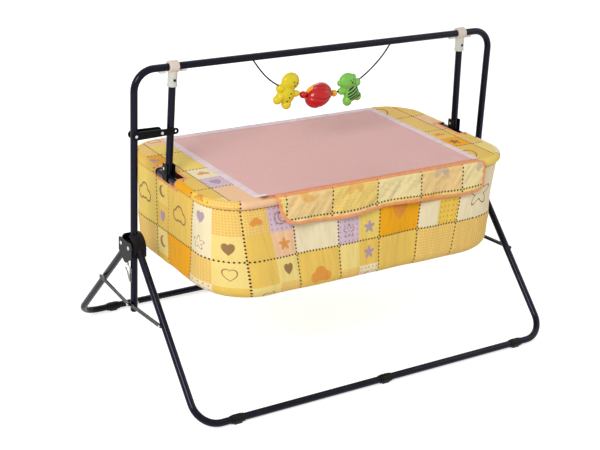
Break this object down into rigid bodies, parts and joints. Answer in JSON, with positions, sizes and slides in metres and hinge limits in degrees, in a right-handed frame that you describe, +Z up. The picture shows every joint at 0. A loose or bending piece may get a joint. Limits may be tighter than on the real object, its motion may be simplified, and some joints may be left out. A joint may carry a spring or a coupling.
{
  "type": "baby cradle",
  "caption": "Hanging baby cradle: a patchwork cloth basket with a net cover swings from a folding black tube stand, under a string of toys.",
  "frame": {"origin": "on the floor, under the middle of the cradle", "axes": "+X along the top bar towards the end without the lock bar, +Y towards the back, away from the flap and zip, +Z up"},
  "size_m": [1.1844, 0.7582, 0.845],
  "materials": {
    "gloss_black_paint": "glossy black enamel on steel tube",
    "black_plastic": "satin moulded plastic",
    "dark_steel": "dark grey zinc phosphate with a thin satin paint",
    "zinc_steel": "bright zinc plated",
    "spring_steel": "bare spring steel, dull",
    "black_screw": "black oxide",
    "ivory_plastic": "satin ivory moulding",
    "clear_plastic": "milky clear moulding",
    "patchwork_cloth": "printed patchwork cotton, light orange, yellow and lilac",
    "flap_cloth": "light yellow cotton, slightly creased",
    "net": "fine dusty pink mesh",
    "zip_cloth": "orange zip tape",
    "zip_metal": "nickel plated",
    "white_plastic": "smooth white",
    "mattress_cloth": "soft pale cotton cover on foam",
    "fibreboard": "bare hardboard",
    "black_cord": "smooth round elastic cord",
    "yellow_vinyl": "soft satin vinyl",
    "green_vinyl": "soft satin vinyl",
    "red_plastic": "glossy",
    "orange_plastic": "glossy"
  },
  "bodies": {
    "arch": {"arch_tube": "gloss_black_paint", "upright_end_caps": "black_plastic", "brace_pivot_bolts": "zinc_steel", "lock_pivot_bolt": "zinc_steel", "latch_rivets": "spring_steel", "latch_base_left": "spring_steel", "latch_base_right": "spring_steel", "bar_stop_clips": "clear_plastic"},
    "pivot_housings": {"housing_shell_left": "black_plastic", "housing_shell_right": "black_plastic", "housing_cover_left": "black_plastic", "housing_cover_right": "black_plastic", "leg_pivot_rivets": "zinc_steel"},
    "front_legs": {"front_leg_frame": "gloss_black_paint", "front_foot_left": "black_plastic", "front_foot_middle": "black_plastic", "front_foot_right": "black_plastic"},
    "rear_legs": {"rear_leg_frame": "gloss_black_paint", "rear_foot_left": "black_plastic", "rear_foot_middle": "black_plastic", "rear_foot_right": "black_plastic"},
    "front_braces": {"front_brace_left": "dark_steel", "front_brace_right": "dark_steel", "front_brace_bolts": "zinc_steel"},
    "rear_braces": {"rear_brace_left": "dark_steel", "rear_brace_right": "dark_steel", "rear_brace_bolts": "zinc_steel"},
    "latch_left": {"latch_lever_left": "spring_steel"},
    "latch_right": {"latch_lever_right": "spring_steel"},
    "lock": {"lock_bar": "dark_steel", "lock_stop_bolt": "zinc_steel"},
    "cradle": {"t_sleeve_left": "ivory_plastic", "t_sleeve_right": "ivory_plastic", "hanger_tube_left": "gloss_black_paint", "hanger_tube_right": "gloss_black_paint", "hanger_screws": "black_screw", "rim_bracket_left": "dark_steel", "rim_bracket_right": "dark_steel", "bracket_bolts": "zinc_steel", "rim_tube": "gloss_black_paint", "rim_cloth_front": "patchwork_cloth", "rim_cloth_back": "patchwork_cloth", "tub_cloth": "patchwork_cloth", "base_board": "fibreboard", "mattress": "mattress_cloth", "cover_panel_left": "patchwork_cloth", "cover_panel_right": "patchwork_cloth", "cover_back_band": "patchwork_cloth", "net_panel": "net", "front_flap": "flap_cloth", "zip_tape": "zip_cloth"},
    "zip": {"zip_slider": "zip_metal", "zip_pull": "white_plastic"},
    "toy_string": {"toy_cord": "black_cord", "toy_bear": "yellow_vinyl", "toy_fruit": "red_plastic", "toy_leaf": "orange_plastic", "toy_bug": "green_vinyl", "bead_red": "red_plastic", "bead_amber": "orange_plastic"}
  },
  "joints": [
    {"name": "stand_fold", "type": "slide", "parent": "arch", "child": "pivot_housings", "axis": [0, 0, 1], "range_m": [-0.12, 0]},
    {"name": "front_leg_fold", "type": "hinge", "parent": "pivot_housings", "child": "front_legs", "pos_m": [0, -0.0215, 0.369], "axis": [1, 0, 0], "range_deg": [0, 38.22]},
    {"name": "rear_leg_fold", "type": "hinge", "parent": "pivot_housings", "child": "rear_legs", "pos_m": [0, 0.0215, 0.369], "axis": [1, 0, 0], "range_deg": [-38.22, 0]},
    {"name": "front_brace_fold", "type": "hinge", "parent": "arch", "child": "front_braces", "pos_m": [0, 0, 0.1995], "axis": [1, 0, 0], "range_deg": [0, 79.24]},
    {"name": "rear_brace_fold", "type": "hinge", "parent": "arch", "child": "rear_braces", "pos_m": [0, 0, 0.1995], "axis": [1, 0, 0], "range_deg": [-79.24, 0]},
    {"name": "latch_press_left", "type": "hinge", "parent": "arch", "child": "latch_left", "pos_m": [-0.5759, 0, 0.264], "axis": [0, 1, 0], "range_deg": [0, 6], "stiffness_Nm_per_rad": 0.6},
    {"name": "latch_press_right", "type": "hinge", "parent": "arch", "child": "latch_right", "pos_m": [0.5759, 0, 0.264], "axis": [0, -1, 0], "range_deg": [0, 6], "stiffness_Nm_per_rad": 0.6},
    {"name": "lock_swing", "type": "hinge", "parent": "arch", "child": "lock", "pos_m": [-0.564, 0, 0.663], "axis": [0, -1, 0], "range_deg": [0, 75]},
    {"name": "cradle_swing", "type": "hinge", "parent": "arch", "child": "cradle", "pos_m": [0, 0, 0.829], "axis": [1, 0, 0], "range_deg": [0, 25]},
    {"name": "zip_slide", "type": "slide", "parent": "cradle", "child": "zip", "axis": [1, 0, 0], "range_m": [0, 0.655]},
    {"name": "toy_swing", "type": "hinge", "parent": "arch", "child": "toy_string", "pos_m": [0, 0, 0.8201], "axis": [1, 0, 0], "range_deg": [-25, 25]}
  ],
  "couplings": [
    {"joint": "front_leg_fold", "follows": "stand_fold", "rad_per_m": -5.5583},
    {"joint": "rear_leg_fold", "follows": "stand_fold", "rad_per_m": 5.5583},
    {"joint": "front_brace_fold", "follows": "stand_fold", "rad_per_m": -11.526},
    {"joint": "rear_brace_fold", "follows": "stand_fold", "rad_per_m": 11.526}
  ]
}
